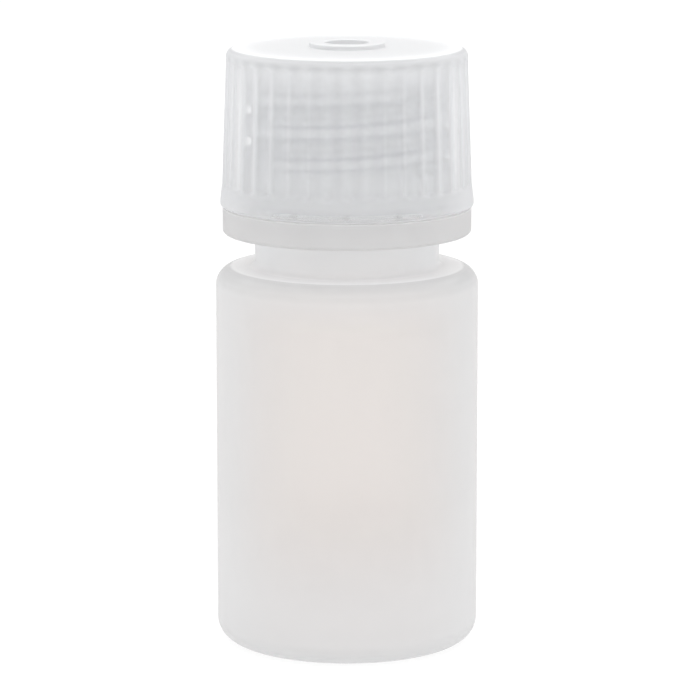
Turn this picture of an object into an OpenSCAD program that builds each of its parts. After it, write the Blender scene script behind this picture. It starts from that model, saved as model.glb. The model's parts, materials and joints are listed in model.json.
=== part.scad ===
// Small round plastic reagent bottle with a tamper-evident screw cap.
// The origin is the centre of the base, on the surface that the bottle stands on. +Z is up, to the mouth.
// The cap is screwed down. The thread is right-hand, so the cap opens anticlockwise seen from above.

/* [Bottle] */
// Outside diameter of the barrel
body_d = 35.2; // [34:0.1:44]
// Height of the shoulder's flat above the table
shoulder_h = 51.2; // [30:0.1:90]
// Outside radius where the barrel turns under to the foot
base_corner = 3.1; // [2.4:0.1:4]
// Outside radius where the barrel turns in to the shoulder
shoulder_corner = 2.5; // [2:0.1:3.5]
// Wall thickness of the barrel
wall = 1.1; // [0.8:0.05:1.4]
// Wall thickness of the base and the shoulder
end_wall = 1.3; // [1:0.05:1.6]
// Height of the push-up in the middle of the base
push_up = 1.2; // [0.6:0.1:1.8]

/* [Neck] */
// Diameter of the neck at the root of the thread
neck_d = 24.7; // [24.6:0.1:25.2]
// Bore of the mouth
bore_d = 20.8; // [19:0.1:21.2]
// Diameter over the thread
thread_d = 27.3; // [27:0.1:27.4]
// Thread pitch, six turns to the inch
pitch = 4.233; // [4.1:0.001:4.4]
// Turns of thread on the neck
neck_turns = 2.6; // [1.5:0.1:2.7]
// Diameter over the locking bead
bead_d = 30.6; // [30:0.1:30.6]

/* [Cap] */
// Height of the cap, from the edge of its band to the top panel
cap_h = 21.1; // [21:0.1:22]
// Diameter over the ribs at their lower end
rib_d = 33.4; // [33.2:0.1:33.5]
// Draft of the ribs, in degrees
draft = 1.9; // [1:0.1:2]
// Number of ribs
ribs = 36; // [24:1:40]
// Height of a rib above the skirt
rib_h = 0.45; // [0.3:0.05:0.5]
// Diameter over the smooth band below the ribs
band_d = 33.9; // [33.7:0.1:34.4]
// Thickness of the top panel
panel_t = 1.7; // [1.5:0.1:1.9]
// Thickness of the sealing liner
liner_t = 1; // [0.8:0.1:1.2]
// Diameter of the boss on the panel
boss_d = 10; // [8:0.1:14]
// Height of the boss
boss_h = 0.7; // [0.4:0.1:1]
// Diameter of the recess in the boss
recess_d = 5.8; // [4:0.1:6.5]

/* [Tamper ring] */
// Outside diameter of the ring
ring_d = 33.3; // [33:0.1:33.6]
// Height of the ring's outer wall
ring_h = 3.5; // [3.4:0.1:4]
// Clear neck between the shoulder and the ring
neck_gap = 4.5; // [3:0.1:6]
// Number of catches inside the ring
catches = 12; // [6:1:14]
// Number of bridges between the ring and the cap
bridge_count = 14; // [8:1:20]

/* [Hidden] */
$fn = 96;

ARC_STEPS = 7;      // straight bands in a rounded corner
THREAD_STEPS = 40;  // flat lengths in one turn of a thread
THREAD_FADE = 8;    // flat lengths in a thread's run-in and run-out
OVERLAP = 0.4;      // how far a ridge is let into its wall

// Heights of the stack, from the shoulder up
ring_z = shoulder_h + neck_gap;
ring_top = ring_z + ring_h;
cap_z = ring_top + 0.2;
cap_top = cap_z + cap_h;
panel_z = cap_top - panel_t;
rim_z = panel_z - liner_t;

// Bottle
body_r = body_d / 2;
neck_r = neck_d / 2;
bore_r = bore_d / 2;
foot_r = body_r - base_corner - 2.5;
neck_fillet = 0.9;
rim_round = 0.3;

// Locking bead: flat under, sloping on top so that the ring snaps over it
bead_r = bead_d / 2;
bead_z = ring_z + 2;
bead_edge = 0.6;
bead_slope = 1.1;

// Threads: the cap's ridge hangs just below the bottle's, so both can screw together without touching
thread_r = thread_d / 2;
thread_top = rim_z - 1.7;
thread_start = 3;
thread_root_w = 2;
thread_crest_w = 1.1;
fade_w = 0.4;
cap_thread_r = neck_r + 0.45;
cap_thread_top = thread_top - 1.75;
cap_turns = 2.3;

// Cap
cap_bore_r = thread_r + 0.45;
cap_corner = 1.2;
rib_r = rib_d / 2;
rib_round = 0.9;
rib_z = cap_z + 2.8;
groove_end = 0.35;
groove_top = cap_top - 1.7;
rib_top_r = rib_r - (cap_top - rib_z) * tan(draft);
band_r = band_d / 2;
band_round = 0.35;
band_in_r = band_r - 0.7;
ledge_z = cap_z + 0.95;
liner_r = cap_bore_r - 0.08;
lip_r = thread_r + 0.12;
recess_depth = 0.9;

// Tamper ring
ring_r = ring_d / 2;
ring_round = 0.55;
ring_in_r = bead_r + 0.25;
collar_r = band_in_r - 0.12;
collar_top = cap_z + 0.35;
catch_r = bead_r - 0.85;
catch_top = bead_z - 0.25;
catch_edge = 0.35;
catch_turn = 0.6 * 360 / catches;

// Bridges
bridge_w = 0.9;
bridge_t = 0.45;

// Points round a corner of radius r about [cx, cz], from angle a0 to a1
function arc(cx, cz, r, a0, a1) =
    [for (i = [0:ARC_STEPS])
        let (a = a0 + (a1 - a0) * i / ARC_STEPS)
        [cx + r * cos(a), cz + r * sin(a)]];

// Points across a shallow dome of height rise, from the axis out to radius r at height z
function dome(r, z, rise) =
    [for (i = [0:ARC_STEPS])
        let (t = i / ARC_STEPS)
        [r * t, z + rise * (1 + cos(180 * t)) / 2]];

// How much of a thread's height stands at section i of n
function fade(i, n) = min(1, i / THREAD_FADE, (n - i) / THREAD_FADE);

// A helical ridge let into a wall of radius wall_r, standing out or in to crest_r.
// Its upper end is at height top and angle start, and its middle line falls one pitch a turn.
module thread(wall_r, crest_r, top, turns, start) {
    out = sign(crest_r - wall_r);
    n = round(turns * THREAD_STEPS);
    root = wall_r - out * OVERLAP;
    // An inward ridge has its corners moved out, so that its flat lengths stay outside crest_r
    flat = out < 0 ? 1 / cos(180 / THREAD_STEPS) : 1;
    points = [for (i = [0:n])
        let (k = fade(i, n),
             a = start - 360 * i / THREAD_STEPS,
             z = top - pitch * i / THREAD_STEPS,
             r = (wall_r - out * OVERLAP / 2) * (1 - k) + crest_r * flat * k,
             w = fade_w * (1 - k) + thread_crest_w * k)
        each [[root * cos(a), root * sin(a), z - thread_root_w / 2],
              [r * cos(a), r * sin(a), z - w / 2],
              [r * cos(a), r * sin(a), z + w / 2],
              [root * cos(a), root * sin(a), z + thread_root_w / 2]]];
    side_faces = [for (i = [0:n - 1], j = [0:3])
        let (p = 4 * i + j, q = 4 * i + (j + 1) % 4)
        each [[p, q, q + 4], [p, q + 4, p + 4]]];
    end_faces = [[3, 2, 1, 0], [4 * n, 4 * n + 1, 4 * n + 2, 4 * n + 3]];
    faces = concat(side_faces, end_faces);
    // Seen along the thread, an inward ridge goes round the other way
    polyhedron(points, out > 0 ? [for (f = faces) [for (i = [len(f) - 1:-1:0]) f[i]]] : faces, 8);
}

module bottle() {
    color([0.93, 0.93, 0.92, 0.9]) {
        difference() {
            rotate_extrude() polygon(concat(
                dome(foot_r, 0, push_up),
                arc(body_r - base_corner, base_corner, base_corner, -90, 0),
                arc(body_r - shoulder_corner, shoulder_h - shoulder_corner, shoulder_corner, 0, 90),
                arc(neck_r + neck_fillet, shoulder_h + neck_fillet, neck_fillet, -90, -180),
                [[neck_r, bead_z], [bead_r, bead_z], [bead_r, bead_z + bead_edge],
                 [neck_r, bead_z + bead_edge + bead_slope]],
                arc(neck_r - rim_round, rim_z - rim_round, rim_round, 0, 90),
                [[0, rim_z]]));
            bottle_hollow();
        }
        thread(neck_r, thread_r, thread_top, neck_turns, thread_start);
    }
}

// The space inside the bottle, with the round edge of the rim
module bottle_hollow() {
    ceiling = shoulder_h - end_wall;
    rotate_extrude() polygon(concat(
        dome(foot_r - 1, end_wall, push_up),
        arc(body_r - base_corner, base_corner, base_corner - wall, -90, 0),
        arc(body_r - shoulder_corner, shoulder_h - shoulder_corner, shoulder_corner - wall, 0, 90),
        arc(bore_r + neck_fillet, ceiling + neck_fillet, neck_fillet, -90, -180),
        arc(bore_r + rim_round, rim_z - rim_round, rim_round, 180, 90),
        [[bore_r + rim_round, rim_z + 1], [0, rim_z + 1]]));
}

module cap() {
    color([0.90, 0.92, 0.95, 0.7]) {
        difference() {
            union() {
                intersection() {
                    union() {
                        cap_core();
                        cap_ribs();
                    }
                    cap_envelope();
                }
                translate([0, 0, panel_z]) cylinder(r = boss_d / 2, h = panel_t + boss_h);
            }
            translate([0, 0, cap_top + boss_h - recess_depth])
                cylinder(r = recess_d / 2, h = recess_depth + 1);
            cap_hollow();
        }
        thread(cap_bore_r, cap_thread_r, cap_thread_top, cap_turns, thread_start);
    }
}

// Panel, band and skirt, with the skirt set back between them by the height of a rib
module cap_core() {
    rotate_extrude() polygon(concat(
        [[0, cap_z]],
        arc(band_r - band_round, cap_z + band_round, band_round, -90, 0),
        [[rib_r, rib_z],
         [rib_r - rib_h, rib_z + groove_end],
         [rib_top_r - rib_h, groove_top],
         [rib_top_r + 0.1, groove_top + groove_end],
         [rib_top_r + 0.1, cap_top],
         [0, cap_top]]));
}

// Ribs, each a round bar that leans in with the draft
module cap_ribs() {
    for (i = [0:ribs - 1])
        rotate(360 * (i + 0.5) / ribs)
            translate([rib_r - rib_round, 0, rib_z - 0.5])
                rotate([0, -draft, 0])
                    cylinder(r = rib_round, h = cap_h);
}

// The outside that trims the ribs: the band below and the rounded edge of the panel above
module cap_envelope() {
    rotate_extrude() polygon(concat(
        [[0, cap_z], [band_r, cap_z], [band_r, cap_z + band_round], [rib_r + 0.05, rib_z]],
        arc(rib_top_r - cap_corner, cap_top - cap_corner, cap_corner, 0, 90),
        [[0, cap_top]]));
}

// The space inside the cap: the room under the band, the bore and the liner's seat above its retaining lip
module cap_hollow() {
    lip_z = rim_z - 0.2;
    rotate_extrude() polygon([
        [0, cap_z - 1], [band_in_r, cap_z - 1], [band_in_r, ledge_z], [cap_bore_r, ledge_z],
        [cap_bore_r, lip_z - 0.8], [lip_r, lip_z - 0.3], [lip_r, lip_z], [cap_bore_r, lip_z],
        [cap_bore_r, panel_z], [0, panel_z]]);
}

module liner() {
    color([0.97, 0.97, 0.96])
        translate([0, 0, rim_z]) cylinder(r = liner_r, h = liner_t);
}

module tamper_ring() {
    color([0.86, 0.87, 0.88, 0.85]) {
        rotate_extrude() polygon(concat(
            [[ring_in_r, ring_z + 0.2], [ring_in_r + 0.2, ring_z]],
            arc(ring_r - ring_round, ring_z + ring_round, ring_round, -90, 0),
            [[ring_r, ring_top], [collar_r, ring_top], [collar_r, collar_top], [ring_in_r, collar_top]]));
        for (i = [0:catches - 1])
            rotate(360 * i / catches) ring_catch();
    }
}

// One catch, a hook that slopes in and up from the ring's wall
module ring_catch() {
    rotate_extrude(angle = catch_turn) polygon([
        [ring_in_r, ring_z + 0.4], [ring_in_r + 0.3, ring_z + 0.4], [ring_in_r + 0.3, catch_top],
        [catch_r, catch_top], [catch_r, catch_top - catch_edge]]);
}

module bridges() {
    color([0.86, 0.87, 0.88, 0.85])
        for (i = [0:bridge_count - 1])
            rotate(360 * i / bridge_count - 90)
                translate([(ring_in_r + collar_r - bridge_t) / 2, -bridge_w / 2, collar_top])
                    cube([bridge_t, bridge_w, ledge_z - collar_top]);
}

bottle();
cap();
liner();
tamper_ring();
bridges();
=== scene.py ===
"""Looks of a small natural-plastic reagent bottle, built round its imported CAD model.

The pieces are drawn in millimetres and degrees up to the moment a mesh is made, when MM turns the
lengths into Blender's metres. The studio round them is in metres. The axis of everything is Z, and
the front of the bottle faces -Y.
"""
import json
import math

import bmesh
import bpy
import numpy as np
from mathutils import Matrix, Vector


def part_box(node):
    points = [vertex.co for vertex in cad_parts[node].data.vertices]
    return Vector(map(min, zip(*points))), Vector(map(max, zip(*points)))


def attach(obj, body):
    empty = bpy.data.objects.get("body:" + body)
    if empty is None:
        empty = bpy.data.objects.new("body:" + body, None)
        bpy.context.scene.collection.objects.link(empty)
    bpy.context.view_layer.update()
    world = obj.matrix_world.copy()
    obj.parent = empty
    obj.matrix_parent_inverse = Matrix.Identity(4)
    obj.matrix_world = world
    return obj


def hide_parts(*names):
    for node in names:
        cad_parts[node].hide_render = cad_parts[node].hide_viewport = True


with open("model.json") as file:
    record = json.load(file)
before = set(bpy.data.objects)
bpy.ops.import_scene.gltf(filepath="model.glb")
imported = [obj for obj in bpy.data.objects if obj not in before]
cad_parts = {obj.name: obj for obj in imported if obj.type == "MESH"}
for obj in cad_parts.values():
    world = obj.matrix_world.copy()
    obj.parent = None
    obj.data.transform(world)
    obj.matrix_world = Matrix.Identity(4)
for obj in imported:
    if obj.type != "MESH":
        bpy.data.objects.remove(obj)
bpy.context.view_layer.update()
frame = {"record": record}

MM = 0.001

# ---------------------------------------------------------------- sizes, from the CAD frame
MOUNTS = {m["name"]: m for m in frame["record"]["mounts"]}


def span(cad_node):
    """Lowest and highest corner of a CAD node, in millimetres."""
    low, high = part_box(cad_node)
    return low / MM, high / MM


INSET = 0.01  # keeps every skin just inside the CAD one

BODY_R = MOUNTS["barrel"]["dims"]["r_mm"] - INSET
BORE_R = MOUNTS["mouth"]["dims"]["r_mm"]
RIM_Z = span("bottle")[1].z
LINER_R = span("liner")[1].y
LINER_Z, PANEL_Z = span("liner")[0].z, span("liner")[1].z
CAP_Z, BOSS_Z = span("cap")[0].z, span("cap")[1].z
BAND_R = span("cap")[1].x - INSET
RING_Z, COLLAR_Z = span("tamper_ring")[0].z, span("tamper_ring")[1].z
RING_R = span("tamper_ring")[1].y - INSET
BRIDGE_TOP = span("bridges")[1].z
BRIDGE_R = span("bridges")[1].y

# ---------------------------------------------------------------- sizes, as part.scad has them
# Bottle
SHOULDER_Z = RING_Z - 4.5
BASE_CORNER, SHOULDER_CORNER = 3.1, 2.5
WALL, END_WALL = 1.1, 1.3
PUSH_UP = 1.2
FOOT_R = BODY_R - BASE_CORNER - 2.5
NECK_R = 12.35
NECK_FILLET, RIM_ROUND = 0.9, 0.3
BEAD_R, BEAD_Z, BEAD_EDGE, BEAD_SLOPE = 15.3, RING_Z + 2, 0.6, 1.1
# Threads
PITCH = 4.233
THREAD_R, CAP_THREAD_R = 13.65, 12.8
THREAD_TOP, CAP_THREAD_TOP = RIM_Z - 1.7, RIM_Z - 3.45
NECK_TURNS, CAP_TURNS = 2.6, 2.3
THREAD_START = 3
THREAD_ROOT_W, THREAD_CREST_W = 2.0, 1.1
# Cap
PANEL_TOP = BOSS_Z - 0.7
CAP_BORE_R = THREAD_R + 0.45
RIBS = 36
RIB_R, RIB_Z = 16.7 - INSET, CAP_Z + 2.8
DRAFT = math.tan(math.radians(1.9))
CAP_CORNER = 1.2
GROOVE_TOP = PANEL_TOP - 1.7
BOSS_R, RECESS_R, RECESS_DEPTH = 5.0, 2.9, 0.9
BAND_H = 0.75
BAND_IN_R = BAND_R + INSET - 0.7
LEDGE_Z = BRIDGE_TOP
LIP_R, LIP_Z, LIP_H = THREAD_R + 0.12, LINER_Z - 0.2, 0.8
# Ring and bridges
RING_TOP = CAP_Z - 0.2
RING_IN_R = BEAD_R + 0.25
COLLAR_R = BAND_IN_R - 0.12
CATCHES, CATCH_DEPTH, CATCH_SHARE = 12, 1.1, 0.6
CATCH_TOP, CATCH_FOOT = BEAD_Z - 0.25, RING_Z + 0.4
BRIDGES, BRIDGE_W, BRIDGE_T = 14, 0.9, 0.45

# ---------------------------------------------------------------- sizes that only the looks have
SEAM_W, SEAM_H, SEAM_TOP = 0.13, 0.035, BEAD_Z - 1  # the line at each side where the mould halves met
WELD_W, WELD_H, WELD_R, WELD_END = 0.45, 0.35, 7.5, 1.5  # and its thicker weld across the push-up
FOOT_H = 0.2  # of the standing edge, which the weld keeps off
THREAD_STEP = 0.16  # between the points of a threaded wall
THREAD_SOFT = 0.1  # how far the rounding of a thread reaches past each end of its flank
FADE_TURNS = 0.2  # over which a thread rises out of its wall
RIB_H, RIB_END = 0.3, 0.35  # softer and lower than the CAD model's round bars
GATE_R, GATE_H = 0.55, 0.18  # the mark in the recess where the cap was filled
BAND_ROUND, RING_ROUND = 0.35, 0.55
PRINT_W, PRINT_H, PRINT_EDGE = 1.8, 0.05, 0.3  # the rim's print in the liner
CATCH_TIP = 0.35  # the upright part of a catch, over its slope
CATCH_END = 1.2  # degrees over which a catch rises at each end
BRIDGE_SIDES = 16
# A bridge's width at each share of its height, as a share of its full width
WAIST = ((0, 1.0), (0.12, 0.9), (0.55, 0.72), (0.8, 0.55), (0.9, 0.6), (1, 0.8))


# ---------------------------------------------------------------- outlines
def rounded(r, z, size, start, stop, steps=8):
    """Points round a corner that would be sharp at (r, z), rounded to size.

    start and stop are the directions from the middle of the rounding to its first and last points.
    """
    middle = math.radians(start + stop) / 2
    middle_r = r - math.copysign(size, math.cos(middle))
    middle_z = z - math.copysign(size, math.sin(middle))
    angles = np.radians(np.linspace(start, stop, steps + 1))
    return [(middle_r + size * math.cos(a), middle_z + size * math.sin(a)) for a in angles]


def line(start, end, step):
    """Points along a straight stretch, about step apart, without its two ends."""
    (r0, z0), (r1, z1) = start, end
    count = max(1, round(math.hypot(r1 - r0, z1 - z0) / step))
    return [(r0 + (r1 - r0) * i / count, z0 + (z1 - z0) * i / count) for i in range(1, count)]


def path(*stretches, step=1.0):
    """Joins lists of points into one outline, with points about step apart on each straight jump."""
    points = list(stretches[0])
    for stretch in stretches[1:]:
        points += line(points[-1], stretch[0], step) + list(stretch)
    return points


def dome(radius, z, rise, steps=14):
    """A shallow push-up, from the axis out to its foot."""
    return [(radius * t, z + rise * (1 + math.cos(math.pi * t)) / 2) for t in np.linspace(0, 1, steps)]


def smooth(t):
    """0 to 1 with soft ends."""
    t = np.clip(t, 0, 1)
    return t * t * (3 - 2 * t)


def even(count):
    """count angles round a full turn."""
    return np.arange(count) * 360 / count


# ---------------------------------------------------------------- meshes
def finish_mesh(name, verts, faces):
    """A closed, smooth-shaded object from points in millimetres."""
    mesh = bpy.data.meshes.new(name)
    mesh.from_pydata([tuple(v) for v in np.asarray(verts) * MM], [], faces)
    work = bmesh.new()
    work.from_mesh(mesh)
    bmesh.ops.recalc_face_normals(work, faces=work.faces)
    work.to_mesh(mesh)
    work.free()
    mesh.polygons.foreach_set("use_smooth", [True] * len(mesh.polygons))
    piece = bpy.data.objects.new(name, mesh)
    bpy.context.scene.collection.objects.link(piece)
    return piece


def lathe(name, outline, angles, shape=None, ring=False):
    """Turns an outline round Z. shape(r, z, theta, row) may move its points, and returns their r and z.

    A ring's outline closes on itself. Any other outline starts and ends with one point on the axis.
    """
    profile = np.array(outline, float)
    theta = np.asarray(angles, float)
    row = np.arange(len(profile))[:, None] * np.ones(len(theta))
    r = profile[:, :1] * np.ones(len(theta))
    z = profile[:, 1:] * np.ones(len(theta))
    if shape:
        r, z = shape(r, z, theta[None, :], row)
    a = np.radians(theta)[None, :]
    grid = np.stack([r * np.cos(a), r * np.sin(a), z], 2)
    if not ring:
        grid = grid[1:-1]
    rows, cols = grid.shape[:2]
    verts = grid.reshape(-1, 3)
    faces = []
    for i in range(rows if ring else rows - 1):
        j = (i + 1) % rows
        for k in range(cols):
            m = (k + 1) % cols
            faces.append((i * cols + k, i * cols + m, j * cols + m, j * cols + k))
    if not ring:
        verts = np.vstack([verts, [[0, 0, profile[0, 1]], [0, 0, profile[-1, 1]]]])
        first, last = rows * cols, rows * cols + 1
        for k in range(cols):
            m = (k + 1) % cols
            faces.append((first, m, k))
            faces.append((last, (rows - 1) * cols + k, (rows - 1) * cols + m))
    return finish_mesh(name, verts, faces)


def thread(theta, z, top, turns):
    """Share of a thread's full height at each point of a wall, 0 between its turns."""
    turn = ((THREAD_START - theta) / 360) % 1
    along = turn + np.round((top - z) / PITCH - turn)
    off = np.abs(z - (top - PITCH * along))
    flank = (THREAD_ROOT_W - THREAD_CREST_W) / 2
    side = smooth((THREAD_ROOT_W / 2 + THREAD_SOFT - off) / (flank + 2 * THREAD_SOFT))
    return side * smooth(along / FADE_TURNS) * smooth((turns - along) / FADE_TURNS)


def bottle_mesh():
    """One blow-moulded shell, with its mould seam, the weld across its base and its thread."""
    ceiling = SHOULDER_Z - END_WALL
    bead_top = BEAD_Z + BEAD_EDGE + BEAD_SLOPE
    skin = path(
        dome(FOOT_R, 0, PUSH_UP),
        rounded(BODY_R, 0, BASE_CORNER, -90, 0, 12),
        rounded(BODY_R, SHOULDER_Z, SHOULDER_CORNER, 0, 90, 12),
        rounded(NECK_R, SHOULDER_Z, NECK_FILLET, -90, -180),
        rounded(NECK_R, BEAD_Z, 0.25, 180, 90, 3),
        rounded(BEAD_R, BEAD_Z, 0.15, -90, 0, 3),
        rounded(BEAD_R, BEAD_Z + BEAD_EDGE, 0.2, 0, 69, 3),
        [(NECK_R + 0.3, bead_top - 0.1), (NECK_R, bead_top + 0.15)],
        step=1.5)
    neck = path([skin[-1]], rounded(NECK_R, RIM_Z, RIM_ROUND, 0, 90, 4), step=THREAD_STEP)[1:]
    inside = path(
        rounded(BORE_R, RIM_Z, RIM_ROUND, 90, 180, 4),
        rounded(BORE_R, ceiling, NECK_FILLET, 180, 270),
        rounded(BODY_R - WALL, SHOULDER_Z - WALL, SHOULDER_CORNER - WALL, 90, 0),
        rounded(BODY_R - WALL, WALL, BASE_CORNER - WALL, 0, -90),
        dome(FOOT_R - 1, END_WALL, PUSH_UP)[::-1],
        step=2.5)

    def shape(r, z, theta, row):
        outside = row < len(skin)
        on_neck = (row >= len(skin)) & (row < len(skin) + len(neck))
        r = r + np.where(on_neck, (THREAD_R - NECK_R) * thread(theta, z, THREAD_TOP, NECK_TURNS), 0)
        # The mould halves meet at the sides, and the skin lies back a little from their seam
        across = np.abs(np.sin(np.radians(theta))) * r
        seam = np.exp(-((across / SEAM_W) ** 2))
        beside_seam = outside & (z > BASE_CORNER) & (z < SEAM_TOP)
        r = r - np.where(beside_seam, SEAM_H * (1 - seam), 0)
        weld = np.exp(-((across / WELD_W) ** 2)) * smooth((WELD_R - r) / WELD_END)
        on_push_up = outside & (z > FOOT_H) & (r < FOOT_R)
        return r, z - np.where(on_push_up, WELD_H * weld, 0)

    # Extra angles close to each seam, between those of the even spacing
    close = np.array([-0.9, -0.6, -0.3, 0.3, 0.6, 0.9])
    angles = np.concatenate([even(240), close % 360, close + 180])
    return lathe("bottle_shell", skin + neck + inside, np.unique(np.round(angles, 4)), shape)


def cap_mesh():
    """The cap's moulding: panel and boss, ribbed skirt, flared band, thread and the liner's seat."""
    top_r = RIB_R - (PANEL_TOP - RIB_Z) * DRAFT
    recess_z = BOSS_Z - RECESS_DEPTH
    top = path(
        [(0, recess_z + GATE_H), (GATE_R - 0.2, recess_z + GATE_H - 0.03), (GATE_R, recess_z)],
        rounded(RECESS_R, recess_z, 0.15, -90, 0, 3),
        rounded(RECESS_R, BOSS_Z, 0.2, 180, 90, 4),
        rounded(BOSS_R, BOSS_Z, 0.25, 90, 0, 5),
        rounded(BOSS_R, PANEL_TOP, 0.2, 180, 270, 4),
        rounded(top_r, PANEL_TOP, CAP_CORNER, 90, 3, 12),
        step=1.2)
    skirt = path([top[-1]], [(RIB_R, RIB_Z)], step=0.3)[1:]
    band = path(
        [skirt[-1]],
        [(BAND_R, CAP_Z + BAND_H)],
        rounded(BAND_R, CAP_Z, BAND_ROUND, 0, -90, 5),
        rounded(BAND_IN_R, CAP_Z, 0.1, 270, 180, 3),
        rounded(BAND_IN_R, LEDGE_Z, 0.12, 0, 90, 3),
        rounded(CAP_BORE_R, LEDGE_Z, 0.2, 270, 180, 3),
        step=0.4)[1:]
    bore = path([band[-1]], [(CAP_BORE_R, LIP_Z - LIP_H)], step=THREAD_STEP)[1:]
    seat = path(
        [bore[-1]],
        [(LIP_R, LIP_Z - 0.3), (LIP_R, LIP_Z), (CAP_BORE_R, LIP_Z + 0.02)],
        [(CAP_BORE_R, PANEL_Z), (0, PANEL_Z)],
        step=2)[1:]
    first_skirt = len(top)
    first_band = first_skirt + len(skirt)
    first_bore = first_band + len(band)
    first_seat = first_bore + len(bore)

    def shape(r, z, theta, row):
        # Soft ribs, with their crests on the CAD ribs' lines
        drop = RIB_H * (1 - np.cos(np.radians(theta * RIBS + 180))) / 2
        ends = smooth((z - RIB_Z) / RIB_END) * smooth((GROOVE_TOP + RIB_END - z) / RIB_END)
        on_skirt = (row >= first_skirt) & (row < first_band)
        on_bore = (row >= first_bore) & (row < first_seat)
        depth = (CAP_BORE_R - CAP_THREAD_R) * thread(theta, z, CAP_THREAD_TOP, CAP_TURNS)
        return r - np.where(on_skirt, drop * ends, 0) - np.where(on_bore, depth, 0), z

    return lathe("cap_shell", top + skirt + band + bore + seat, even(RIBS * 12), shape)


def liner_mesh():
    """The soft disc under the panel, with the rim's print pressed into it."""
    middle = (NECK_R + BORE_R) / 2
    half = PRINT_W / 2
    print_z = LINER_Z + PRINT_H
    outline = path(
        [(0, print_z), (middle - half - PRINT_EDGE, print_z), (middle - half, LINER_Z)],
        [(middle + half, LINER_Z), (middle + half + PRINT_EDGE, print_z)],
        rounded(LINER_R, LINER_Z, 0.12, -80, 0, 4),
        rounded(LINER_R, PANEL_Z, 0.12, 0, 90, 4),
        [(0, PANEL_Z)],
        step=1.5)
    return lathe("liner_disc", outline, even(120))


def ring_mesh():
    """The loose ring, with its collar under the cap's band and the catches inside."""
    outline = path(
        rounded(RING_R, RING_Z, RING_ROUND, -90, 0, 7),
        rounded(RING_R, RING_TOP, 0.12, 0, 90, 3),
        rounded(COLLAR_R, RING_TOP, 0.1, 270, 180, 2),
        rounded(COLLAR_R, COLLAR_Z, 0.1, 0, 90, 3),
        rounded(RING_IN_R, COLLAR_Z, 0.08, 90, 180, 3),
        # Two points close together, for the flat top of the catches
        [(RING_IN_R, CATCH_TOP + 0.06), (RING_IN_R, CATCH_TOP - 0.01)],
        [(RING_IN_R, CATCH_TOP - CATCH_TIP)],
        [(RING_IN_R, CATCH_FOOT)],
        rounded(RING_IN_R, RING_Z, 0.2, 180, 250, 3),
        step=0.25)

    def shape(r, z, theta, row):
        spacing = 360 / CATCHES
        half = spacing * CATCH_SHARE / 2
        off = np.abs((theta - half + spacing / 2) % spacing - spacing / 2)
        here = smooth((half - off) / CATCH_END)
        slope = np.clip((z - CATCH_FOOT) / (CATCH_TOP - CATCH_TIP - CATCH_FOOT), 0, 1)
        depth = CATCH_DEPTH * slope * (z < CATCH_TOP)
        on_inside = r < RING_IN_R + 0.01
        return r - np.where(on_inside, depth * here, 0), z

    return lathe("tamper_ring_band", outline, even(360), shape, ring=True)


def bridges_mesh():
    """Thin posts with round corners, each pinched just under the cap where it snaps."""
    middle_r = BRIDGE_R - BRIDGE_T / 2
    verts, faces = [], []
    for i in range(BRIDGES):
        turn = math.radians(360 * i / BRIDGES - 90)
        out = np.array([math.cos(turn), math.sin(turn)])
        along = np.array([-math.sin(turn), math.cos(turn)])
        base = len(verts)
        for share, width in WAIST:
            z = COLLAR_Z + share * (BRIDGE_TOP - COLLAR_Z)
            for k in range(BRIDGE_SIDES):
                a = 2 * math.pi * (k + 0.5) / BRIDGE_SIDES
                # The square root turns a circle into a square with round corners
                u, v = (math.copysign(abs(f(a)) ** 0.5, f(a)) for f in (math.cos, math.sin))
                x, y = out * (middle_r + u * BRIDGE_T / 2 * width) + along * v * BRIDGE_W / 2 * width
                verts.append((x, y, z))
        for level in range(len(WAIST) - 1):
            for k in range(BRIDGE_SIDES):
                m = (k + 1) % BRIDGE_SIDES
                p = base + level * BRIDGE_SIDES
                q = p + BRIDGE_SIDES
                faces.append((p + k, p + m, q + m, q + k))
        top = base + (len(WAIST) - 1) * BRIDGE_SIDES
        faces.append(tuple(base + k for k in reversed(range(BRIDGE_SIDES))))
        faces.append(tuple(top + k for k in range(BRIDGE_SIDES)))
    return finish_mesh("bridge_posts", verts, faces)


# ---------------------------------------------------------------- shader nodes
NOISE_RANGE = 0.3, 0.7  # which a noise texture seldom leaves


def feed(tree, socket, value):
    """Sets a node's input, to a plain value or to the output of another node."""
    if isinstance(value, bpy.types.NodeSocket):
        tree.links.new(value, socket)
    else:
        socket.default_value = value


def node(tree, kind, operation=None, **inputs):
    """A shader node with its inputs set by name, where _ stands for a space."""
    made = tree.nodes.new(kind)
    if operation:
        made.operation = operation
    for key, value in inputs.items():
        feed(tree, made.inputs[key.replace("_", " ")], value)
    return made


def maths(tree, operation, *values):
    """Values joined by one operation: the first with the second, the result with the third, and so on."""
    result = values[0]
    for value in values[1:]:
        made = node(tree, "ShaderNodeMath", operation)
        feed(tree, made.inputs[0], result)
        feed(tree, made.inputs[1], value)
        result = made.outputs["Value"]
    return result


def scaled(tree, vector, factor):
    """A vector or a colour times a factor."""
    made = node(tree, "ShaderNodeVectorMath", "SCALE", Scale=factor)
    feed(tree, made.inputs[0], vector)
    return made.outputs["Vector"]


def between(tree, source, start, end, low=0.0, high=1.0):
    """A value that goes evenly from low to high as source goes from start to end."""
    return node(
        tree, "ShaderNodeMapRange", Value=source,
        From_Min=start, From_Max=end, To_Min=low, To_Max=high).outputs["Result"]


def ramp(tree, source, start, end, low=0.0, high=1.0):
    """A value that goes from low to high with soft ends as source goes from start to end."""
    made = between(tree, source, start, end, low, high)
    made.node.interpolation_type = "SMOOTHSTEP"
    return made


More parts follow.
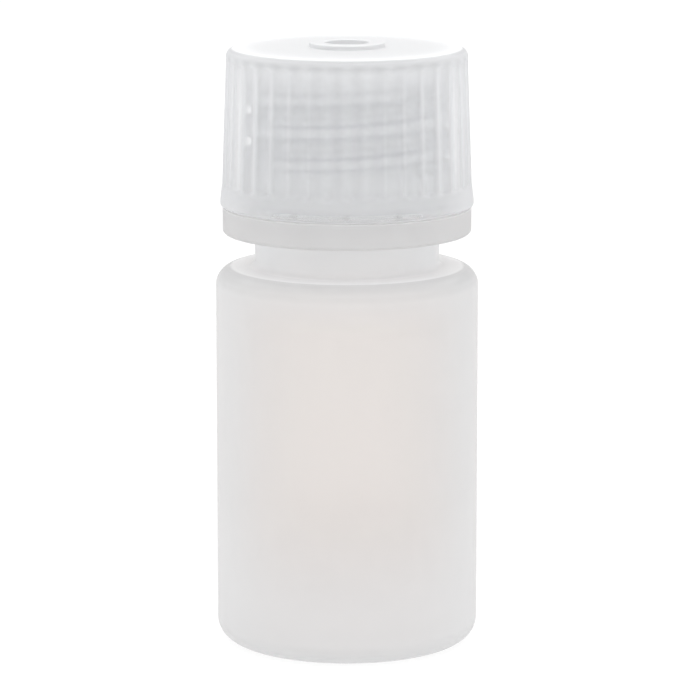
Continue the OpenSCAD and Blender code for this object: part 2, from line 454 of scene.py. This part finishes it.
def varied(tree, low, high, scale, detail=3.0):
    """A value that drifts between low and high over the piece, at scale patterns a metre."""
    where = node(tree, "ShaderNodeTexCoord").outputs["Object"]
    noise = node(tree, "ShaderNodeTexNoise", Vector=where, Scale=scale, Detail=detail)
    return between(tree, noise.outputs["Fac"], *NOISE_RANGE, low, high)


def mixed(tree, factor, first, second):
    """One colour going over into another by a factor."""
    mix = node(tree, "ShaderNodeMix")
    mix.data_type = "RGBA"
    feed(tree, mix.inputs[0], factor)
    feed(tree, mix.inputs[6], first)
    feed(tree, mix.inputs[7], second)
    return mix.outputs[2]


def mixed_shader(tree, factor, first, second):
    """One shader going over into another by a factor."""
    mix = node(tree, "ShaderNodeMixShader", Fac=factor)
    feed(tree, mix.inputs[1], first)
    feed(tree, mix.inputs[2], second)
    return mix.outputs["Shader"]


# ---------------------------------------------------------------- places on the pieces
def place(tree):
    """The height on the piece and the distance from its axis, in millimetres, and the turn in radians."""
    where = scaled(tree, node(tree, "ShaderNodeTexCoord").outputs["Object"], 1 / MM)
    x, y, z = node(tree, "ShaderNodeSeparateXYZ", Vector=where).outputs
    flat = node(tree, "ShaderNodeCombineXYZ", X=x, Y=y).outputs["Vector"]
    distance = node(tree, "ShaderNodeVectorMath", "LENGTH")
    feed(tree, distance.inputs[0], flat)
    return z, distance.outputs["Value"], maths(tree, "ARCTAN2", y, x)


def on_skin(tree):
    """1 on the bottle's skin and its neck, and 0 on the walls of the hollow in its body, which take the
    painted glow.

    Each ramp lies within the thickness of the wall, between the hollow's side of it and the skin's.
    """
    z, r, _ = place(tree)
    return maths(
        tree, "MAXIMUM",
        ramp(tree, r, BODY_R - 0.8, BODY_R - 0.3),
        ramp(tree, z, SHOULDER_Z - 0.8, SHOULDER_Z - 0.4),
        ramp(tree, z, END_WALL - 0.4, END_WALL - 0.5),
        # The rounded corners of the shoulder and of the base
        ramp(tree, maths(tree, "ADD", r, z), BODY_R + SHOULDER_Z - 2.6, BODY_R + SHOULDER_Z - 2),
        ramp(tree, maths(tree, "SUBTRACT", r, z), BODY_R - 2.9, BODY_R - 2.3))


def flank_shade_mask(tree):
    """1 on the sides of the neck's thread, between its root and its crest, and 0 elsewhere: where the
    thread's painted shade goes.
    """
    z, r, _ = place(tree)
    return maths(
        tree, "MULTIPLY",
        ramp(tree, r, NECK_R + 0.05, NECK_R + 0.25),
        ramp(tree, r, THREAD_R - 0.05, THREAD_R - 0.2),
        ramp(tree, z, BEAD_Z + 2.5, BEAD_Z + 3))


def crest_shade_mask(tree):
    """1 on the crest of each of the cap's ribs, and 0 in the grooves between them: where the ribs' painted
    shade goes.
    """
    _, _, turn = place(tree)
    wave = node(tree, "ShaderNodeMath", "COSINE")
    feed(tree, wave.inputs[0], maths(tree, "MULTIPLY", turn, RIBS))
    return between(tree, wave.outputs["Value"], 1, -1)


def by_height(tree, stops):
    """A value set by height: one number, or pairs of a height in millimetres and the value there, upwards."""
    if not isinstance(stops, tuple):
        return stops
    z, _, _ = place(tree)
    (first_z, first), (second_z, second) = stops[:2]
    steps = [ramp(tree, z, first_z, second_z, first, second)]
    for (low, start), (high, end) in zip(stops[1:], stops[2:]):
        steps.append(ramp(tree, z, low, high, 0, end - start))
    return maths(tree, "ADD", *steps)


# ---------------------------------------------------------------- materials
TONE_SCALE, ROUGH_SCALE, GRAIN_SCALE = 90, 260, 1800  # patterns a metre
PLASTIC_IOR = 1.5


def plastic(name, colours, roughness, clear=0, see_colour=(1, 1, 1), fade=(0.0, 0.65), glow=0.5,
            gloss=0.5, grain=0.004, painted_light_by_height=1, inside=None, flank=None, crest=None):
    """Natural plastic: part of the light comes back, part comes through spread, and part passes clear.

    clear is the share of light that passes straight through a surface met head on. That light takes
    see_colour, and its share fades out as the surface turns aside, between the two values of fade.
    glow is the share of the rest that comes through spread. The skin drifts between the two colours,
    scaled by lift, which paints light and shade by height, and crest is how much darker the ribs'
    crests are painted than their grooves, a painted light for the thinner wall between them. clear,
    glow, lift and crest are set by height, as by_height says. inside is the colour painted on the
    walls of a bottle's hollow, lighter than the skin, a painted glow, and flank is a painted shade on
    a thread's sides.
    """
    material = bpy.data.materials.new(name)
    material.use_nodes = True
    tree = material.node_tree
    tree.nodes.clear()

    # Painted light and shade: the skin's colour is scaled by height
    painted_brightness = by_height(tree, painted_light_by_height)
    # The ribs' crests are painted darker than their grooves, painted light for the thinner wall in the
    # grooves
    if crest:
        painted_crest_shade = maths(tree, "MULTIPLY", crest_shade_mask(tree), by_height(tree, crest))
        painted_brightness = maths(tree, "SUBTRACT", painted_brightness, painted_crest_shade)
    low, high = ((*colour, 1) for colour in colours)
    tone = scaled(tree, mixed(tree, varied(tree, 0, 1, TONE_SCALE), low, high), painted_brightness)
    # The walls of the hollow are painted lighter and warmer than the skin, a painted glow
    if inside:
        tone = mixed(tree, on_skin(tree), (*inside, 1), tone)
    # The thread's sides are painted darker, a painted shade
    if flank:
        tone = mixed(tree, flank_shade_mask(tree), tone, (*flank, 1))

    height = varied(tree, 0, 1, GRAIN_SCALE, 2)
    bump = node(tree, "ShaderNodeBump", Strength=0.2, Distance=grain * MM, Height=height)
    body = node(
        tree, "ShaderNodeBsdfPrincipled", Base_Color=tone, Normal=bump.outputs["Normal"],
        Roughness=varied(tree, *roughness, ROUGH_SCALE), IOR=PLASTIC_IOR, Specular_IOR_Level=gloss)
    through = node(tree, "ShaderNodeBsdfTranslucent", Color=tone)
    surface = mixed_shader(tree, by_height(tree, glow), body.outputs["BSDF"], through.outputs["BSDF"])
    if clear:
        hole = node(tree, "ShaderNodeBsdfTransparent", Color=(*see_colour, 1))
        aside = node(tree, "ShaderNodeLayerWeight", Blend=0.5)
        head_on = ramp(tree, aside.outputs["Facing"], *fade, 1, 0)
        share = maths(tree, "MULTIPLY", by_height(tree, clear), head_on)
        surface = mixed_shader(tree, share, surface, hole.outputs["BSDF"])
    node(tree, "ShaderNodeOutputMaterial", Surface=surface)
    return material


def materials():
    """One material for each kind of plastic."""
    return {
        # Clearest halfway up the barrel and milky at the base and the neck. The shoulder's round
        # corner is painted darker than its flat and the neck, a painted shade, and the flat and the neck
        # are painted lighter, painted light in the shade under the ring and cap. The skin is also
        # painted a little lighter towards the base.
        "bottle_plastic": plastic(
            "natural_polyethylene", ((0.95, 0.96, 0.968), (0.96, 0.97, 0.978)), (0.22, 0.25),
            clear=(
                (0, 0.12), (5, 0.2), (22, 0.58), (SHOULDER_Z - 7, 0.56), (SHOULDER_Z - 0.5, 0.24)),
            see_colour=(1, 0.976, 0.957), glow=0.45, gloss=0.3, grain=0.006,
            painted_light_by_height=(
                (0, 0.86), (8, 0.86), (14, 0.85), (22, 0.83),
                (SHOULDER_Z - 6, 0.835), (SHOULDER_Z - 2.6, 0.835),
                (SHOULDER_Z - 1.5, 0.77), (SHOULDER_Z - 0.8, 0.72), (SHOULDER_Z - 0.3, 0.72),
                (SHOULDER_Z - 0.12, 0.76), (SHOULDER_Z - 0.01, 1.02)),
            # The hollow's walls are painted lighter and warmer, a painted glow, and the thread's sides
            # darker, a painted shade
            inside=(0.965, 0.944, 0.938), flank=(0.7, 0.71, 0.735)),
        # A clear skirt under a milky panel. A painted shade line runs round the panel's edge, the panel top
        # is painted lighter, partly for the white liner behind it and partly as painted light from above, the
        # boss's side is painted darker than its top, and the skirt is painted lighter towards the top.
        "cap_plastic": plastic(
            "natural_polypropylene", ((0.925, 0.93, 0.94), (0.935, 0.94, 0.95)), (0.28, 0.285),
            clear=((CAP_Z, 0.8), (CAP_Z + 2, 0.62), (RIM_Z - 4, 0.62), (PANEL_TOP - 0.6, 0.1)),
            fade=(0.12, 0.7), glow=((PANEL_TOP - 0.3, 0.5), (PANEL_TOP - 0.05, 0.35)), gloss=0.3,
            painted_light_by_height=(
                (CAP_Z, 0.91), (RIB_Z, 0.895), (RIB_Z + 2, 0.95), (RIM_Z - 3, 1.01), (RIM_Z - 0.5, 1.0),
                (PANEL_TOP - 0.5, 0.93), (PANEL_TOP - 0.15, 0.79), (PANEL_TOP - 0.02, 1.02),
                (PANEL_TOP + 0.03, 1.02), (PANEL_TOP + 0.15, 0.92),
                (BOSS_Z - 0.2, 0.92), (BOSS_Z - 0.03, 1.0)),
            crest=((RIB_Z, 0), (RIB_Z + 1, 0.08), (PANEL_TOP - 1.2, 0.08), (PANEL_TOP - 0.5, 0))),
        # Milkier than the cap, with its top edge painted paler, painted light where it faces up
        "ring_plastic": plastic(
            "ring_polypropylene", ((0.95, 0.945, 0.945), (0.97, 0.965, 0.965)), (0.4, 0.45),
            clear=0.2, gloss=0.15,
            painted_light_by_height=((RING_Z, 0.84), (RING_TOP - 0.3, 0.84), (RING_TOP - 0.04, 0.96))),
        "liner_foam": plastic(
            "liner_foam", ((0.94, 0.94, 0.93), (0.95, 0.95, 0.94)), (0.6, 0.75), glow=0, grain=0.05),
    }


# ---------------------------------------------------------------- pieces
def build_pieces():
    """Every visible piece, on its body, in place of its CAD node."""
    finishes = materials()
    made = (
        (bottle_mesh(), "bottle", "bottle", "bottle_plastic"),
        (cap_mesh(), "cap", "cap", "cap_plastic"),
        (liner_mesh(), "liner", "liner", "liner_foam"),
        (ring_mesh(), "tamper_ring", "tamper_ring", "ring_plastic"),
        (bridges_mesh(), "tamper_ring", "bridges", "ring_plastic"),
    )
    for piece, body, cad_node, finish in made:
        piece.data.materials.append(finishes[finish])
        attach(piece, body)
        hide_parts(cad_node)


# ---------------------------------------------------------------- studio
TENT_SIDE, TENT_TOP = 0.9, 0.6  # the tent's brightness low down and overhead
TENT_LOW, TENT_HIGH = 0.2, 0.5  # where the one ends and the other starts: 0 is level, 1 straight up
PANEL_SIZE, PANEL_POWER = 2.0, 17.0
PANEL_PLACE = (0, 0.05, 0.75)
FLOOR_HALF = 2.5
FLOOR_GAP = 0.00002  # under the bottle, so that no two faces are in one place
FLOOR_GLOW, FLOOR_SHADE = 0.87, 0.15
CAMERA_DISTANCE, CAMERA_PITCH = 0.5432, math.radians(10.69)
CAMERA_AIM_Z = 0.03957
CAMERA_SIDE = 0.0004  # the bottle stands just left of the middle
LENS, SENSOR = 207.5, 36  # in millimetres


def floor():
    """A pale table top that the light washes out to white."""
    mesh = bpy.data.meshes.new("table_top")
    corners = [(x * FLOOR_HALF, y * FLOOR_HALF, 0) for x, y in ((-1, -1), (1, -1), (1, 1), (-1, 1))]
    mesh.from_pydata(corners, [], [(0, 1, 2, 3)])
    table = bpy.data.objects.new("table_top", mesh)
    table.location.z = -FLOOR_GAP
    bpy.context.scene.collection.objects.link(table)
    paint = bpy.data.materials.new("pale_table")
    paint.use_nodes = True
    shader = paint.node_tree.nodes["Principled BSDF"]
    shader.inputs["Base Color"].default_value = (FLOOR_SHADE, FLOOR_SHADE, FLOOR_SHADE, 1)
    shader.inputs["Roughness"].default_value = 0.9
    shader.inputs["Specular IOR Level"].default_value = 0
    shader.inputs["Emission Color"].default_value = (1, 1, 1, 1)
    shader.inputs["Emission Strength"].default_value = FLOOR_GLOW
    mesh.materials.append(paint)


def lights():
    """A white tent, brightest low down where it meets the table, and a soft panel overhead."""
    world = bpy.data.worlds.new("white_tent")
    world.use_nodes = True
    tree = world.node_tree
    around = node(tree, "ShaderNodeTexCoord").outputs["Generated"]
    height = node(tree, "ShaderNodeSeparateXYZ", Vector=around).outputs["Z"]
    sky = tree.nodes["Background"]
    feed(tree, sky.inputs["Color"], (1, 1, 1, 1))
    feed(tree, sky.inputs["Strength"], ramp(tree, height, TENT_LOW, TENT_HIGH, TENT_SIDE, TENT_TOP))
    bpy.context.scene.world = world
    panel = bpy.data.lights.new("overhead_panel", "AREA")
    panel.shape = "SQUARE"
    panel.size = PANEL_SIZE
    panel.energy = PANEL_POWER
    lamp = bpy.data.objects.new("overhead_panel", panel)
    lamp.location = PANEL_PLACE
    bpy.context.scene.collection.objects.link(lamp)


def camera():
    """A long lens a little above the bottle, looking slightly down at it."""
    data = bpy.data.cameras.new("camera")
    data.sensor_width = SENSOR
    data.lens = LENS
    data.clip_start = 0.01
    eye = bpy.data.objects.new("camera", data)
    back = CAMERA_DISTANCE * math.cos(CAMERA_PITCH)
    up = CAMERA_DISTANCE * math.sin(CAMERA_PITCH)
    eye.location = (CAMERA_SIDE, -back, CAMERA_AIM_Z + up)
    eye.rotation_euler = (math.pi / 2 - CAMERA_PITCH, 0, 0)
    bpy.context.scene.collection.objects.link(eye)
    bpy.context.scene.camera = eye


def colour_management():
    """Plain sRGB tones, so that the white tent stays white."""
    view = bpy.context.scene.view_settings
    view.view_transform = "Standard"
    view.look = "None"


def light_paths():
    """Enough bounces for light to pass the cap, the neck and the far walls behind them."""
    cycles = bpy.context.scene.cycles
    cycles.transparent_max_bounces = 24
    cycles.diffuse_bounces = 8


build_pieces()
floor()
lights()
camera()
colour_management()
light_paths()
